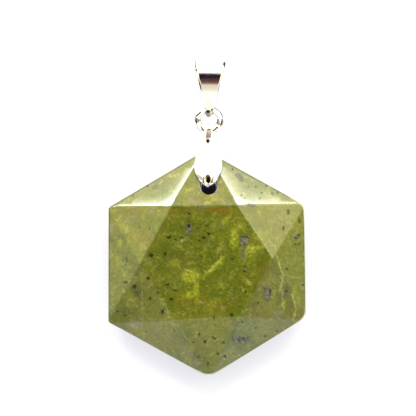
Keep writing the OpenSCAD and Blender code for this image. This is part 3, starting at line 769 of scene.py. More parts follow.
def spreadPoints(facets, outline, normals, hole):  # the outline first, then the hole, then all the rest
    net = stoneNet
    chosen = []
    buckets = {}

    def take(point, room):
        i, j = round(point[0] / net["cell"]), round(point[1] / net["cell"])
        around = [(i + di, j + dj) for di in (-1, 0, 1) for dj in (-1, 0, 1)]
        near = [q for cell in around for q in buckets.get(cell, ())]
        if all((point[0] - q[0]) ** 2 + (point[1] - q[1]) ** 2 >= room ** 2 for q in near):
            chosen.append(point)
            buckets.setdefault((i, j), []).append(point)

    turns = [2 * math.pi * i / net["holeSides"] for i in range(net["holeSides"])]
    circle = [np.array([math.cos(t), math.sin(t)]) for t in turns]
    bore = stoneCut["holeD"] / 2
    for point in list(outline) + [hole + bore * c for c in circle]:
        take(point, 0)
    rimR, holeR = stoneCut["rimRound"], stoneCut["holeRound"]
    shares = [1 - cosine(lean) for lean in net["leans"]]
    rows = [(rimR * share, holeR * share, net["closest"]) for share in shares]
    rows.append((rimR + net["rimRow"], holeR + net["holeRow"], net["rowRoom"]))
    for fromRim, fromBore, room in rows:
        for point, normal in zip(outline, normals):
            take(point - normal * fromRim, room)
        for c in circle:
            take(hole + c * (bore + fromBore), room)
    beside = pointsBesideRidges(facets)
    for point in beside[onFace(beside, outline, hole, net["edgeMargin"])]:
        take(point, net["edgeRoom"])

    tree = kdtree.KDTree(len(chosen))
    for i, point in enumerate(chosen):
        tree.insert((point[0], point[1], 0), i)
    tree.balance()
    grid = pointsOfGrid()
    for point in grid[onFace(grid, outline, hole, net["fillMargin"])]:
        if tree.find((point[0], point[1], 0))[2] > net["fillStep"] * net["fillRoom"]:
            chosen.append(point)
    return chosen


def faceNet(facets, outline, normals, hole):  # points and triangles of one face, seen from the front
    chosen = spreadPoints(facets, outline, normals, hole)
    count, sides = len(outline), stoneNet["holeSides"]
    edges = [(i, (i + 1) % count) for i in range(count)]
    edges += [(count + i, count + (i + 1) % sides) for i in range(sides)]
    found = delaunay_2d_cdt([Vector(p) for p in chosen], edges, [], 0, 1e-5)
    points = np.array([tuple(p) for p in found[0]])
    triangles = []
    for face in found[2]:
        a, b, c = (points[i] for i in face)
        if np.linalg.norm((a + b + c) / 3 - hole) < stoneCut["holeD"] / 2 - stoneNet["closest"]:
            continue
        turn = (b - a)[0] * (c - a)[1] - (b - a)[1] * (c - a)[0]
        triangles.append(tuple(face) if turn > 0 else tuple(reversed(face)))
    where = {source: i for i, sources in enumerate(found[3]) for source in sources}
    rim = [where[i] for i in range(count)]
    bore = [where[count + i] for i in range(sides)]
    return points, triangles, rim, bore


def buildStone(material):
    outline, normals = roundedOutline()
    hole = np.array([stoneCut["holeAt"][0], stoneCut["holeAt"][1] * cornerReach()])
    middle = stoneCut["thickness"] / 2
    points = []
    faces = []
    loops = []
    for front in (True, False):
        facets = facetList(regular=not front)
        flat, triangles, rim, bore = faceNet(facets, outline, normals, hole)
        height = heightAt(flat, facets, outline, hole)
        first = len(points)
        side = 1 if front else -1
        points += [(p[0], p[1], middle + side * h) for p, h in zip(flat, height)]
        faces += [tuple(first + i for i in (t if front else reversed(t))) for t in triangles]
        loops.append(([first + i for i in rim], [first + i for i in bore]))
    # the girdle and the wall of the hole, row by row from the front to the back
    for which, outward in ((0, True), (1, False)):
        upper, lower = loops[0][which], loops[1][which]
        rows = [upper]
        for r in range(1, stoneNet["wallRows"]):
            share = r / stoneNet["wallRows"]
            first = len(points)
            for a, b in zip(upper, lower):
                points.append(tuple(np.array(points[a]) * (1 - share) + np.array(points[b]) * share))
            rows.append(list(range(first, first + len(upper))))
        rows.append(lower)
        for above, below in zip(rows, rows[1:]):
            for i in range(len(above)):
                j = (i + 1) % len(above)
                quad = (above[i], below[i], below[j], above[j])
                faces.append(quad if outward else tuple(reversed(quad)))
    print("stone:", len(points), "points,", len(faces), "faces")
    dressNode(makeObject("star_cut_stone", points, faces, material), "stone")


# Metal finish: bright plating, slightly warm, darker where it is hard to polish
metalFinish = {
    "bright": (0.93, 0.905, 0.87, 1),
    "dull": (0.86, 0.81, 0.74, 1),
    "tarnish": (0.11, 0.065, 0.045, 1),
    # Colours of the painted shade and painted reflections that the marks below lay on the plating
    "paintedBlackShade": (0.002, 0.0015, 0.001, 1),
    "paintedDarkReflection": (0.020, 0.018, 0.016, 1),
    "bronze": (0.115, 0.088, 0.070, 1),
    "blush": (0.160, 0.145, 0.330, 1),
    "amber": (0.50, 0.40, 0.32, 1),
    "border": 0.8,                        # how soft the marks' edges are
    "sharper": {"paintedBlackShade": 0.5, "paintedDarkReflection": 0.6},
    "ragged": [(0.10, 4.0)],              # as for the stone
    "markDepth": 1.1,
    "wear": (1.1, 4.0, 0.6),              # noises: scale, detail, roughness
    "wearSpan": (0.52, 0.78),
    "wearStrength": 0.5,
    "wearHeight": (0.000010, 0.3),        # in metres, and its strength
    "scuffs": (7.0, 3.0, 0.6),
    "scuffSpan": (0.4, 0.75),
    "hollowReach": 0.0005,                # in metres
    "hollowSpan": (0.15, 0.62),
    "hollowStrength": 0.85,
    "gloss": 0.045,                       # roughness, and where it is scuffed
    "scuffed": 0.095,
}

# Painted shade and painted reflections on the plating: small dark and brownish marks where the metal
# mirrors dark surroundings, where it faces away from the light, and in the pressed dent. Columns as in
# stoneSpots.
# Face is the height of the metal's front at a y, as that height, its slope and that y.
paintedPlatingShade = {
    "pinch_bail": {
        "face": (7.95, -0.335, 11.1),
        "amber": [(0.42, 18.62, 0.66, 0.48, 90, 0.95)],
        "blush": [
            (-0.97, 12.76, 0.59, 0.32, -52, 0.96), (1.78, 12.84, 0.65, 0.35, 40, 0.96),
            (0.39, 18.22, 0.40, 0.34, 90, 0.97),
        ],
        "bronze": [
            (-0.30, 12.28, 0.62, 0.15, 96, 0.95), (0.97, 12.26, 0.58, 0.14, 72, 0.95),
            (0.40, 11.50, 0.34, 0.20, 0, 0.6),
        ],
        "paintedBlackShade": [(0.38, 12.31, 0.62, 0.38, 84, 1.0), (0.38, 17.97, 0.30, 0.24, 90, 0.985)],
    },
    "jump_ring": {
        "face": (3.75, -0.404, 21.1),
        "bronze": [(2.74, 20.53, 0.50, 0.10, 80, 0.5), (-1.01, 19.85, 0.59, 0.10, -50, 0.5)],
        "paintedDarkReflection": [
            (-0.89, 22.02, 0.68, 0.17, 52, 0.97), (-0.42, 19.98, 0.68, 0.14, -53, 0.9),
            (1.44, 19.73, 0.52, 0.14, 42, 0.95), (1.80, 22.75, 0.54, 0.13, -28, 0.8),
            (2.44, 22.00, 0.62, 0.13, -62, 0.8), (1.60, 22.04, 0.41, 0.10, -45, 0.4),
        ],
        "paintedBlackShade": [
            (-1.09, 21.13, 0.46, 0.36, 110, 0.97), (2.24, 20.85, 0.66, 0.46, 75, 0.9),
            (1.83, 20.02, 0.21, 0.17, 0, 0.9),
        ],
    },
    "neck_bail": {
        "face": (3.9, 0.0, 0.0),
        "bronze": [(0.53, 22.02, 0.46, 0.50, 0, 0.8)],
        "paintedDarkReflection": [
            (0.03, 22.66, 0.32, 0.19, -45, 0.9), (1.13, 22.64, 0.30, 0.19, 45, 0.85),
            (-0.66, 26.41, 1.21, 0.17, -73, 0.97), (-1.17, 29.31, 0.74, 0.12, 90, 0.6),
            (2.16, 25.89, 1.00, 0.12, 79, 0.6),
        ],
        "paintedBlackShade": [
            (0.54, 22.43, 0.30, 0.24, 0, 0.95), (-1.12, 28.53, 0.28, 0.21, -60, 0.95),
            (3.02, 29.33, 0.38, 0.21, 75, 0.95), (-0.62, 27.35, 0.76, 0.13, -76, 0.97),
        ],
    },
}


def brightPlate(node):                    # the plating of one node, with its own marks
    material, tree, shader = newMaterial(node + "_plate")
    look, marks = metalFinish, paintedPlatingShade[node]
    height, slope, middle = marks["face"]
    place = millimetres(tree)
    wear = noise(tree, place, *look["wear"])
    worn = remap(tree, wear, *look["wearSpan"], 0.0, look["wearStrength"])
    colour = blendColours(tree, worn, look["bright"], look["dull"])
    hidden = hollows(tree, look["hollowReach"])
    hidden = remap(tree, hidden, *look["hollowSpan"], look["hollowStrength"], 0.0)
    colour = blendColours(tree, hidden, colour, look["tarnish"])
    ragged = ripple(tree, place, look["ragged"])

    def levelAt(x, y):
        return height + slope * (y - middle)

    # Painted shade and reflections: each kind of mark tints the plating where it lies
    for kind in ("amber", "blush", "bronze", "paintedDarkReflection", "paintedBlackShade"):
        if kind in marks:
            border = look["sharper"].get(kind, look["border"])
            there = allSpots(tree, ragged, marks[kind], border, levelAt, reach=look["markDepth"])
            colour = blendColours(tree, there, colour, look[kind])
    tree.links.new(colour, shader.inputs["Base Color"])
    scuffs = noise(tree, place, *look["scuffs"])
    rough = remap(tree, scuffs, *look["scuffSpan"], look["gloss"], look["scuffed"])
    tree.links.new(rough, shader.inputs["Roughness"])
    shader.inputs["Metallic"].default_value = 1.0
    tree.links.new(bump(tree, wear, *look["wearHeight"]), shader.inputs["Normal"])
    return material


# Where the metal hangs: its own frame lies on the stone's middle plane, and leans a little
hanging = {
    "at": (0.3, 0.67 * cornerReach(), stoneCut["thickness"] / 2),
    "lean": 2.0,
    "gap": 0.14,                          # between the strap and the ring's wire
}


def fromMetalFrame(points):
    c, s = cosine(-hanging["lean"]), sine(-hanging["lean"])
    ax, ay, az = hanging["at"]
    return [(ax + c * x - s * y, ay + s * x + c * y, az + z) for x, y, z in points]


def tilted(points, slope, at):            # turned down towards the neck by slope degrees, then moved
    c, s = cosine(-slope), sine(-slope)
    return [(at[0] + x, at[1] + c * y - s * z, at[2] + s * y + c * z) for x, y, z in points]


def sweepFaces(rows, sides, closed):      # quads from row to row, with caps where the rows don't close
    faces = []
    for i in range(rows if closed else rows - 1):
        for j in range(sides):
            a, b = i * sides + j, i * sides + (j + 1) % sides
            c, d = ((i + 1) % rows) * sides + (j + 1) % sides, ((i + 1) % rows) * sides + j
            faces.append((a, b, c, d))
    if not closed:
        faces.append(tuple(range(sides - 1, -1, -1)))
        faces.append(tuple((rows - 1) * sides + j for j in range(sides)))
    return faces


def joinRows(parts, closed):              # each part is rows of points
    points = []
    faces = []
    for rows in parts:
        first = len(points)
        for row in rows:
            points += row
        faces += [tuple(first + i for i in face) for face in sweepFaces(len(rows), len(rows[0]), closed)]
    return points, faces


def hangMetal(name, node, points, faces):
    print(node + ":", len(points), "points")
    piece = makeObject(name, fromMetalFrame(points), faces, brightPlate(node))
    dressNode(piece, node)


# Pinch bail: two cupped leaves pressed from one strip
pinchBail = {
    "width": 4.2,
    "length": 8.65,
    "sheet": 0.4,
    "belly": 3.4,                         # where it is widest, from the point
    "bellyReach": 0.95,                   # from there on the leaf narrows in a straight line
    "neckHalf": 1.09,
    "neckRise": 0.35,                     # of the leaf's neck over the ring's wire
    "shoulder": 0.3,                      # radius of the neck's corners
    "cupR": 5.2,
    "tipY": -0.1,
    "tipHalf": 0.012,
    "edgeGap": 0.07,                      # between the point's edges and the stone
    "edgeRound": 0.17,
    "edgeShare": 0.8,                     # of the half width, at most
    "edgeTurns": (75, 60, 45, 30, 15, 0, -15, -30, -45, -60, -75),
    "bendFrom": 2.6,                      # the last stretch to the point bends down to the stone
    "bendR": 6.0,
    "bendStretch": 0.026,                 # so that the bent point stays where it was
    "dentAt": 1.25,
    "dentHalf": (0.37, 0.62),
    "dentDepth": 0.75,
    "dentWall": (1.14, 0.3),              # edge and width, as shares of the dent's size
    "dentLip": 0.05,
    "lipWaves": [(1.38, 0.2, 1.0), (2.0, 0.35, -0.8)],   # place, width and height of the lip and the dip
    "pitD": 0.4,
    "pitDepth": 0.22,
    "pitWall": (1.15, 0.4),
    # rows along a leaf: close together at the point, round the dent and round the pit
    "pointRows": [0.012, 0.05, 0.11, 0.18, 0.25],
    "leafRows": [(0.32, 0.055, 34), (2.5, 0.2, 23), (6.95, 0.055, 8), (7.5, 0.2, 4)],
    "shoulderTurns": (0, 20, 40, 58, 72, 84),
    "halfAcross": 26,                     # points from the middle to an edge
    "innerEach": 4,                       # the inner face has every fourth of them
    # the peg under the dent: radius and height, down to its end
    "peg": [
        (0.56, 0.10), (0.54, -0.1), (0.50, -0.3), (0.42, -0.42), (0.35, -0.55),
        (0.33, -0.9), (0.28, -1.2), (0.20, -1.3), (0.05, -1.32),
    ],
    "pegOval": (1.3, 1.1),                # length by width, under the dent and further down
    "pegOvalTo": -0.35,
    "pegSides": 24,
    "strapWidth": 0.9,
    "strapSheet": 0.4,
    "strapReach": 1.3,
    "strapBend": 0.85,
    "strapStart": 1.38,
    "strapSunk": 0.2,                     # it comes out of the leaf that far past its start
    "strapRise": 0.10,                    # the strap climbs a little on its way to the bend
    "strapFacing": 95.7,                  # so its face leans back, in degrees
    "strapRound": 0.13,
    "strapTurns": (0, 22.5, 45, 67.5, 90),    # points round each of its corners
    "strapStops": (0, 0.04, 0.08, 0.12, 0.35, 0.6, 0.85),   # rows from its start to the bend
    "bendStep": 7.5,                      # degrees from row to row round the bend
    "strapEnds": (0.62, 0.86, 0.97),      # the rounded ends, as shares of the full section
}

# Jump ring: round wire, closed, tilted where it rests on the strap
jumpRing = {
    "outerD": 4.3,
    "wireD": 1.0,
    "tilt": 22.0,
    "slack": 0.05,                        # the loop's middle sits that far inside the wire's
    "steps": 120,
    "sides": 32,
}


def placesOfMetal():                      # the heights and slopes that follow from the sizes
    p, ring = pinchBail, jumpRing
    starFall = stoneCut["crown"] / (cornerReach() / 2)
    lift = p["edgeGap"] + p["cupR"] - math.sqrt(p["cupR"] ** 2 - (p["width"] / 2) ** 2)
    facet = stoneCut["thickness"] / 2 - (hanging["at"][1] + p["tipY"] - cornerReach() / 2) * starFall
    tipHeight = facet + lift
    neckHeight = ring["wireD"] / 2 + p["neckRise"]
    slope = math.asin((tipHeight - neckHeight) / p["length"])
    neckY = p["tipY"] + p["length"] * math.cos(slope)
    strapHalf = neckHeight + p["sheet"] / math.cos(slope)
    strapHalf += (p["strapStart"] - p["strapSunk"]) * math.tan(slope)
    strapEnd = neckY + p["strapReach"]
    ringR = (ring["outerD"] - ring["wireD"]) / 2
    lowerWire = strapEnd - p["strapSheet"] - hanging["gap"] - ring["wireD"] / 2
    alongY, alongZ = ringR * cosine(ring["tilt"]), ringR * sine(ring["tilt"])
    return {
        "tipHeight": tipHeight, "slope": math.degrees(slope), "neckY": neckY,
        "strapHalf": strapHalf, "strapEnd": strapEnd, "ringR": ringR,
        "ringCentre": (0, lowerWire + alongY, -alongZ),
        "loopCentre": (0, lowerWire + 2 * alongY - ring["slack"], -2 * alongZ),
    }


def leafHalf(along):                      # half the leaf's width, that far from its point
    p = pinchBail
    half = p["width"] / 2
    sideR = (p["belly"] ** 2 + half ** 2) / (2 * half)
    join = p["belly"] + p["bellyReach"]

    def arc(s):
        return half - sideR + math.sqrt(sideR ** 2 - (s - p["belly"]) ** 2)

    taper = (along - join) / (p["length"] - join)
    wide = arc(along) if along <= join else arc(join) * (1 - taper) + p["neckHalf"] * taper
    past = max(0.0, along - p["length"] + p["shoulder"])
    return wide - p["shoulder"] + math.sqrt(max(0.0, p["shoulder"] ** 2 - past ** 2))


def pressedDepth(x, s):                   # how far the dent, its lip and the pit move the leaf's outer face
    p = pinchBail
    away = math.hypot(x / p["dentHalf"][0], (s - p["dentAt"]) / p["dentHalf"][1])
    edge, wide = p["dentWall"]
    sink = min(1.0, max(0.0, (edge - away) / wide))
    z = -p["dentDepth"] * sink * sink * (3 - 2 * sink)
    z += p["dentLip"] * sum(high * math.exp(-((away - at) / wide) ** 2) for at, wide, high in p["lipWaves"])
    pitR = p["pitD"] / 2
    away = math.hypot(x, s - (p["length"] - p["strapStart"] - pitR)) / pitR
    edge, wide = p["pitWall"]
    return z - p["pitDepth"] * max(0.0, min(1.0, (edge - away) / wide))


def leafPoints():                         # one leaf lying flat, its point at the origin
    p = pinchBail
    sheet = p["sheet"]
    along = list(p["pointRows"])
    for start, step, count in p["leafRows"]:
        along += [start + step * i for i in range(count)]
    along += [p["length"] - p["shoulder"] * (1 - sine(turn)) for turn in p["shoulderTurns"]]
    across = [sine(90 * (i / p["halfAcross"])) for i in range(-p["halfAcross"], p["halfAcross"] + 1)]
    rows = []
    for s in along:
        half = max(leafHalf(s), p["tipHalf"])
        edge = min(p["edgeRound"], half * p["edgeShare"])
        past = max(0.0, p["bendFrom"] - s)
        bend = -past ** 2 / (2 * p["bendR"])
        y = s + p["bendStretch"] * past ** 2

        def crest(x):
            return bend - (p["cupR"] - math.sqrt(p["cupR"] ** 2 - x ** 2))

        def roundEdge(side, turn):
            x = side * (half - edge + edge * cosine(turn))
            return x, y, crest(x) + sheet / 2 + sheet / 2 * sine(turn)

        flat = [t * (half - edge) for t in across]
        row = [(x, y, crest(x) + sheet + pressedDepth(x, s)) for x in flat]   # outer face, left to right
        row += [roundEdge(1, turn) for turn in p["edgeTurns"]]
        row += [(x, y, crest(x)) for x in reversed(flat[::p["innerEach"]])]   # inner face, right to left
        row += [roundEdge(-1, turn) for turn in reversed(p["edgeTurns"])]
        rows.append(row)
    return rows


def pegRows():
    p = pinchBail
    past = p["bendFrom"] - p["dentAt"]
    tipBend = -past ** 2 / (2 * p["bendR"])
    middle = p["dentAt"] + p["bendStretch"] * past ** 2
    turns = [2 * math.pi * i / p["pegSides"] for i in range(p["pegSides"])]
    rows = []
    for radius, z in p["peg"]:
        long = radius * p["pegOval"][0 if z > p["pegOvalTo"] else 1]
        rows.append([(radius * math.cos(t), middle + long * math.sin(t), z + tipBend) for t in turns])
    return rows


def strapSection():                       # the strap cut across, with rounded corners
    p = pinchBail
    fillet = p["strapRound"]
    wide, thick = p["strapWidth"] / 2 - fillet, p["strapSheet"] / 2 - fillet
    section = []
    for cx, cz, first in ((wide, thick, 0), (-wide, thick, 90), (-wide, -thick, 180), (wide, -thick, 270)):
        for turn in (first + step for step in p["strapTurns"]):
            section.append((cx + fillet * cosine(turn), cz + fillet * sine(turn)))
    return section


def strapRows(places):                    # along the strap, from the front leaf round to the back one
    p = pinchBail
    inner = p["strapSheet"] / 2
    start = places["neckY"] - p["strapStart"]
    bendY = places["strapEnd"] - p["strapBend"]
    bendZ = places["strapHalf"] - p["strapBend"]
    radius = p["strapBend"] - inner
    run = bendY - start
    line = []
    for t in p["strapStops"]:
        height = places["strapHalf"] - inner - p["strapRise"] * run * (1 - t)
        line.append((start + run * t, height, p["strapFacing"]))
    for i in range(round(90 / p["bendStep"]) + 1):
        facing = 90 - p["bendStep"] * i
        line.append((bendY + radius * cosine(facing), bendZ + radius * sine(facing), facing))
    middle = [(bendY + radius, bendZ * t, 0.0) for t in (0.5, 0.0, -0.5)]
    mirrored = [(y, -z, -facing) for y, z, facing in reversed(line)]
    route = line + middle + mirrored
    rows = []
    for n, (y, z, facing) in enumerate(route):
        end = min(n, len(route) - 1 - n)
        shrink = p["strapEnds"][end] if end < len(p["strapEnds"]) else 1.0
        c, s = cosine(facing), sine(facing)
        rows.append([(x * shrink, y + c * d * shrink, z + s * d * shrink) for x, d in strapSection()])
    return rows


def buildPinchBail(places):
    tip = (0, pinchBail["tipY"], places["tipHeight"])
    parts = []
    for side in (1, -1):
        for rows in (leafPoints(), pegRows()):
            placed = [tilted(row, places["slope"], tip) for row in rows]
            if side < 0:                  # the back leaf is the front one mirrored
                placed = [[(x, y, -z) for x, y, z in row][::-1] for row in placed]
            parts.append(placed)
    parts.append(strapRows(places))
    hangMetal("pinch_bail_metal", "pinch_bail", *joinRows(parts, closed=False))


def buildJumpRing(places):
    ring = jumpRing
    wire = ring["wireD"] / 2
    rows = []
    for i in range(ring["steps"]):
        turn = 2 * math.pi * i / ring["steps"]
        row = []
        for j in range(ring["sides"]):
            a = 2 * math.pi * j / ring["sides"]
            reach = places["ringR"] + wire * math.cos(a)
            row.append((reach * math.cos(turn), reach * math.sin(turn), wire * math.sin(a)))
        rows.append(row)
    points, faces = joinRows([rows], closed=True)
    hangMetal("jump_ring_wire", "jump_ring", tilted(points, ring["tilt"], places["ringCentre"]), faces)


# Neck bail: one strip bent round, wide over the top and narrow in its loop
neckBail = {
    "length": 8.0,
    "width": 4.54,
    "depth": 4.7,
    "sheet": 0.45,
    "edge": (0.3, 0.2),                   # the bevel along its edges
    "loopHalf": 0.45,
    "play": 0.12,                         # between the loop and the ring's wire
    "tipHalf": 0.7,
    "tipAt": 0.05,
    "tipR": 0.42,
    "fullWidthAt": 6.4,
    "clearance": 0.03,                    # over the surface that the pendant lies on
    "fillets": (0.10, 0.09, 0.12),        # inner edge, outer edge, where the bevel meets the face
    "filletSteps": 4,
    "filletShare": 0.42,                  # of the shorter side beside it, at most
    "guard": 0.18,                        # one more point outside each fillet keeps the flats flat
    "topSteps": 64,
    "sideSteps": 40,
    "crowding": 1.6,                      # the cheeks' rows come closer together towards the loop
}


def bailSizes():
    n = neckBail
    loopR = jumpRing["wireD"] / 2 + n["play"] + n["sheet"]
    topR = n["depth"] / 2
    topCentre = n["length"] - topR
    cheekR = (topCentre ** 2 + topR ** 2 - loopR ** 2) / (2 * (topR - loopR))
    loopTurn = 90 + math.degrees(math.asin(topCentre / (cheekR - loopR)))
    return {"loopR": loopR, "topR": topR, "topCentre": topCentre, "cheekR": cheekR, "loopTurn": loopTurn}


def bailHalf(along):                      # half the strip's width, that far up from the loop's middle
    n = neckBail
    full = n["width"] / 2
    if along <= n["tipAt"]:
        return n["loopHalf"]
    cheek = n["tipHalf"] + (full - n["tipHalf"]) * (along - n["tipAt"]) / (n["fullWidthAt"] - n["tipAt"])
    inside = min(1.0, (along - n["tipAt"]) / n["tipR"])
    tip = n["tipR"] * (1 - math.sqrt(max(0.0, 1 - (1 - inside) ** 2)))
    return max(n["loopHalf"], min(full, cheek) - tip)


def roundedSection(corners, radii):
    n = neckBail
    rounded = []
    count = len(corners)
    for i in range(count):
        here = np.array(corners[i], float)
        last = np.array(corners[i - 1], float) - here
        after = np.array(corners[(i + 1) % count], float) - here
        lastLength, afterLength = np.linalg.norm(last), np.linalg.norm(after)
        last, after = last / lastLength, after / afterLength
        half = math.acos(max(-1.0, min(1.0, float(last @ after)))) / 2
        cut = min(radii[i] / math.tan(half), lastLength * n["filletShare"], afterLength * n["filletShare"])
        radius = cut * math.tan(half)
        middle = (last + after) / np.linalg.norm(last + after)
        centre = here + middle * radius / math.sin(half)
        start, end = here + last * cut, here + after * cut
        rounded.append(start + last * cut * n["guard"])
        a0 = math.atan2(*(start - centre)[::-1])
        a1 = math.atan2(*(end - centre)[::-1])
        turn = (a1 - a0 + math.pi) % (2 * math.pi) - math.pi
        for k in range(n["filletSteps"] + 1):
            a = a0 + turn * k / n["filletSteps"]
            rounded.append(centre + radius * np.array([math.cos(a), math.sin(a)]))
        rounded.append(end + after * cut * n["guard"])
    return rounded


def bailPlace(size, facing, depth):       # a point of the bent strip, by its facing and its depth in it
    c, s = cosine(facing), sine(facing)
    if abs(facing) > size["loopTurn"]:
        return (size["loopR"] - depth) * c, (size["loopR"] - depth) * s
    if abs(facing) <= 90:
        return size["topCentre"] + (size["topR"] - depth) * c, (size["topR"] - depth) * s
    middle = math.copysign(1, facing) * (size["topR"] - size["cheekR"])
    return size["topCentre"] + (size["cheekR"] - depth) * c, middle + (size["cheekR"] - depth) * s


def buildNeckBail(places):
    n, size = neckBail, bailSizes()
    turn, steps = size["loopTurn"], n["sideSteps"]
    top = [90 - 180 * i / n["topSteps"] for i in range(n["topSteps"] + 1)]
    cheek = [90 + (turn - 90) * (1 - (1 - i / steps) ** n["crowding"]) for i in range(1, steps)]
    loop = [-turn - (360 - 2 * turn) * i / steps for i in range(steps + 1)]
    inner, outer, face = n["fillets"]
    rows = []
    for facing in top + [-f for f in cheek] + loop + cheek[::-1]:
        facing = facing + 360 if facing < -180 else facing
        half = bailHalf(bailPlace(size, facing, 0)[0])
        bevel = min(n["edge"][0], half / 2)
        corners = [
            (half, n["sheet"]), (half, n["edge"][1]), (half - bevel, 0.0),
            (bevel - half, 0.0), (-half, n["edge"][1]), (-half, n["sheet"]),
        ]
        section = roundedSection(corners, (inner, outer, face, face, outer, inner))
        rows.append([(x, *bailPlace(size, facing, depth)) for x, depth in section])
    points, faces = joinRows([rows], closed=True)
    fall = places["loopCentre"][2] + stoneCut["thickness"] / 2 - n["clearance"] - size["topR"]
    drop = math.degrees(math.asin(fall / size["topCentre"]))
    hangMetal("neck_bail_metal", "neck_bail", tilted(points, drop, places["loopCentre"]), faces)


# Light: a white tent with a small opening straight overhead, through which the picture is taken
tent = {
    "wall": (1.22, 1.23, 1.42),
    "openingTop": (0.010, 0.003, 0.012, 1),    # what shines through the opening, on its far side
    "openingNear": (0.12, 0.055, 0.05, 1),     # and on its near side
    "openingRim": (0.42, 0.30, 0.24, 1),
    "opening": 6.6,                       # degrees off straight up
    "openingSoft": 1.2,
    "nearFrom": (0.055, -0.045),          # directions in y: starts at, full from
    "rimFrom": (-0.055, -0.12),
    "skirt": (0.10, 0.08, 0.07, 1),       # dark room seen below the tent's walls
    "skirtFrom": 66.0,                    # degrees off straight up
    "skirtFull": 74.0,
    "skirtFar": (0.55, 0.30),             # in y, like nearFrom
    "skirtNear": (-0.34, -0.18),
}

# The tent's glowing panels, and with colours below nothing its darker ones, in degrees.
# Columns: azimuth from +X, angle off straight up, full to, gone at, red, green, blue.
glowingPanels = [
    (90, 37, 6, 16, 3.2, 2.8, 0.55),
    (30, 37, 6, 16, 4.05, 3.55, 1.05),
    (150, 37, 6, 16, 2.35, 2.02, 0.10),
    (210, 37, 6, 16, -0.53, -0.65, -0.87),
    (270, 37, 6, 16, 0.28, 0.23, -0.2),
    (330, 37, 6, 16, -0.12, -0.28, -0.7),
    (120, 50, 4, 10.5, 15.0, 15.0, 9.0),
    (120, 50, 5, 9.5, 12.0, 12.0, 20.0),
    (120, 61, 8, 22, 4.9, 4.8, 2.3),
    (60, 48, 4, 11, 11.5, 11.5, 7.5),
    (60, 48, 4, 8, 7.0, 7.0, 17.0),
    (60, 60, 9, 24, 5.2, 5.0, 2.8),
    (180, 60, 6, 18, 1.2, 1.1, -0.05),
    (0, 60, 6, 18, 1.1, 0.95, -0.57),
    (240, 60, 6, 18, 0.85, 0.7, 0.15),
    (300, 60, 6, 18, 0.93, 1.0, 0.44),
    (270, 5, 0, 13, -0.40, -0.50, -0.80),
    (270, 25, 9, 16, 0.0, 0.0, -0.28),
    (90, 20, 4, 11, 0.7, 0.6, -0.45),
    (136, 44, 3, 9, 1.2, 1.05, -0.25),
    (44, 43, 3, 9, 1.4, 1.2, -0.1),
    (167, 47, 3, 9, 1.2, 1.0, -0.2),
    (13, 47, 3, 9, 1.2, 1.0, -0.2),
    (150, 20, 4, 11, 0.5, 0.4, -0.4),
    (30, 24, 4, 10, 3.0, 2.8, 1.2),
    (210, 20, 5, 14, -0.50, -0.50, -0.65),
    (330, 20, 5, 14, -0.50, -0.55, -0.70),
]


def buildTent():
    world = bpy.data.worlds.new("white_tent")
    bpy.context.scene.world = world
    world.use_nodes = True
    tree = world.node_tree
    direction = addNode(tree, "ShaderNodeTexCoord").outputs["Generated"]
    light = tent["wall"]
    for azimuth, off, full, gone, red, green, blue in glowingPanels:
        x, y = polar(azimuth, sine(off))
        near = vectorMath(tree, "DOT_PRODUCT", direction, (float(x), float(y), cosine(off)))
        share = remap(tree, near, cosine(gone), cosine(full))
        light = vectorMath(tree, "ADD", light, scaled(tree, (red, green, blue), share))
    parts = addNode(tree, "ShaderNodeSeparateXYZ", {0: direction})
    y, z = parts.outputs["Y"], parts.outputs["Z"]
    below = remap(tree, z, cosine(tent["skirtFrom"]), cosine(tent["skirtFull"]))
    dark = calc(tree, "MULTIPLY", below, remap(tree, y, *tent["skirtFar"]))
    dark = calc(tree, "MULTIPLY", dark, remap(tree, y, *tent["skirtNear"]))
    light = blendColours(tree, dark, light, tent["skirt"])
    opening = blendColours(tree, remap(tree, y, *tent["nearFrom"]), tent["openingTop"], tent["openingNear"])
    opening = blendColours(tree, remap(tree, y, *tent["rimFrom"]), opening, tent["openingRim"])
    low, high = (cosine(tent["opening"] + soft) for soft in (tent["openingSoft"], -tent["openingSoft"]))
    colour = blendColours(tree, remap(tree, z, low, high), light, opening)
    tree.links.new(colour, tree.nodes["Background"].inputs["Color"])


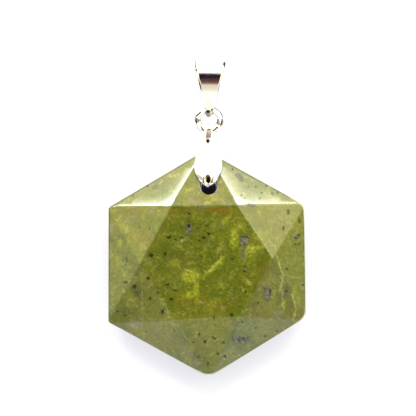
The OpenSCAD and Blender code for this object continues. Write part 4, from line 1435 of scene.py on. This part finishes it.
# Floor: a white board that glows a little from below, as a light table does
floorBoard = {
    "half": 900.0,
    "drop": 0.02,                         # just under the stone
    "pale": (0.28, 0.28, 0.31, 1),
    "grey": (0.27, 0.27, 0.30, 1),
    "glow": (0.88, 0.89, 1.0, 1),
    "glowStrength": 0.62,
    "underHole": (0.45, 11.2, 0.0),       # the middle of the painted shadow that shows through the stone's hole
    "paintedHoleShadow": (0.03, 0.024, 0.065, 1),
    "holeShadowTo": (1.0, 1.4),                # dark up to, gone at
    "roughness": 0.6,
    "shine": 0.2,
}


def buildFloor():
    board = floorBoard
    material, tree, shader = newMaterial("white_board")
    place = millimetres(tree)
    colour = blendColours(tree, noise(tree, place, 2.0), board["grey"], board["pale"])
    # Painted shadow: a dark disc on the board under the stone's hole, where the glow is also turned off
    away = vectorMath(tree, "LENGTH", shift(tree, place, tuple(-c for c in board["underHole"])))
    outsideHoleShadow = remap(tree, away, *board["holeShadowTo"])
    colour = blendColours(tree, outsideHoleShadow, board["paintedHoleShadow"], colour)
    tree.links.new(colour, shader.inputs["Base Color"])
    shader.inputs["Roughness"].default_value = board["roughness"]
    shader.inputs["Specular IOR Level"].default_value = board["shine"]
    shader.inputs["Emission Color"].default_value = board["glow"]
    tree.links.new(calc(tree, "MULTIPLY", outsideHoleShadow, board["glowStrength"]), shader.inputs["Emission Strength"])
    half = board["half"]
    corners = [(-half, -half, 0), (half, -half, 0), (half, half, 0), (-half, half, 0)]
    piece = makeObject("board", corners, [(0, 1, 2, 3)], material)
    piece.location = (0, 0, -board["drop"] * mm)


# Camera: straight above, far away, with the pendant where the photo has it
view = {
    "centre": (0.285, 8.16),              # of the picture, in millimetres on the stone
    "width": 61.44,
    "roll": -0.9,
    "distance": 600.0,
    "sensor": 36.0,
    "clip": (0.01, 20.0),                 # in metres
}


def buildCamera():
    data = bpy.data.cameras.new("camera")
    data.sensor_width = view["sensor"]
    data.lens = view["sensor"] * view["distance"] / view["width"]
    data.clip_start, data.clip_end = view["clip"]
    camera = bpy.data.objects.new("camera", data)
    bpy.context.scene.collection.objects.link(camera)
    x, y = view["centre"]
    camera.location = (x * mm, y * mm, (stoneCut["thickness"] / 2 + view["distance"]) * mm)
    camera.rotation_euler = (0, 0, math.radians(view["roll"]))
    bpy.context.scene.camera = camera


metalPlaces = placesOfMetal()
buildStone(serpentine())
buildPinchBail(metalPlaces)
buildJumpRing(metalPlaces)
buildNeckBail(metalPlaces)
print("pieces built")
buildFloor()
buildTent()
buildCamera()
bpy.context.scene.view_settings.view_transform = "Standard"
bpy.context.scene.view_settings.gamma = 1.0
print("floor, tent and camera set")
